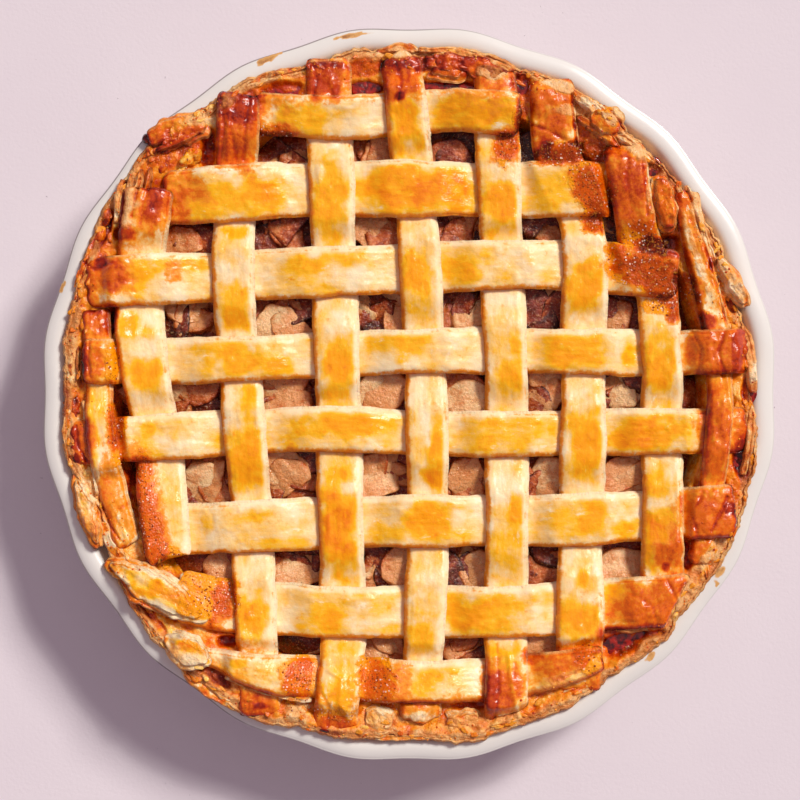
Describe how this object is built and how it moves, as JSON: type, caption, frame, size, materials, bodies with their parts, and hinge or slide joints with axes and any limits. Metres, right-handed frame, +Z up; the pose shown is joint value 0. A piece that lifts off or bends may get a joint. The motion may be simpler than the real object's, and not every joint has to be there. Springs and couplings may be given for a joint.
{
  "type": "lattice apple pie",
  "caption": "Round baked apple pie with a woven pastry lattice over cinnamon apple filling, in its own white scalloped ceramic dish.",
  "frame": {"origin": "on the table, under the middle of the dish", "axes": "+Z up out of the pie, +Y towards the far side of the picture, along the upright strips, +X to its right, along the cross strips"},
  "size_m": [0.2806, 0.2806, 0.0594],
  "materials": {
    "dish_glaze": "clear gloss glaze on white stoneware, with small baked-on stains on the lip",
    "baked_crust": "baked shortcrust, orange brown, crumbly and flaky at the edge",
    "lattice_pastry": "baked shortcrust strips, cream with golden egg wash, darker at the ends",
    "folded_pastry": "folded ends of baked shortcrust, golden orange with egg wash",
    "apple_filling": "moist cinnamon apple slices and chunks in brown syrup"
  },
  "bodies": {
    "root": {"dish": "dish_glaze", "bottom_crust": "baked_crust", "apple_filling": "apple_filling", "upright_strip_0": "lattice_pastry", "upright_strip_1": "lattice_pastry", "upright_strip_2": "lattice_pastry", "upright_strip_3": "lattice_pastry", "upright_strip_4": "lattice_pastry", "upright_strip_5": "lattice_pastry", "upright_strip_6": "lattice_pastry", "upright_strip_7": "lattice_pastry", "upright_strip_8": "lattice_pastry", "cross_strip_0": "lattice_pastry", "cross_strip_1": "lattice_pastry", "cross_strip_2": "lattice_pastry", "cross_strip_3": "lattice_pastry", "cross_strip_4": "lattice_pastry", "cross_strip_5": "lattice_pastry", "cross_strip_6": "lattice_pastry", "cross_strip_7": "lattice_pastry", "edge_fold_0": "folded_pastry", "edge_fold_1": "folded_pastry", "edge_fold_2": "folded_pastry", "edge_fold_3": "folded_pastry", "edge_fold_4": "folded_pastry", "edge_fold_5": "folded_pastry", "edge_fold_6": "folded_pastry", "edge_fold_7": "folded_pastry", "edge_fold_8": "folded_pastry", "edge_fold_9": "folded_pastry", "edge_fold_10": "folded_pastry"}
  },
  "joints": []
}
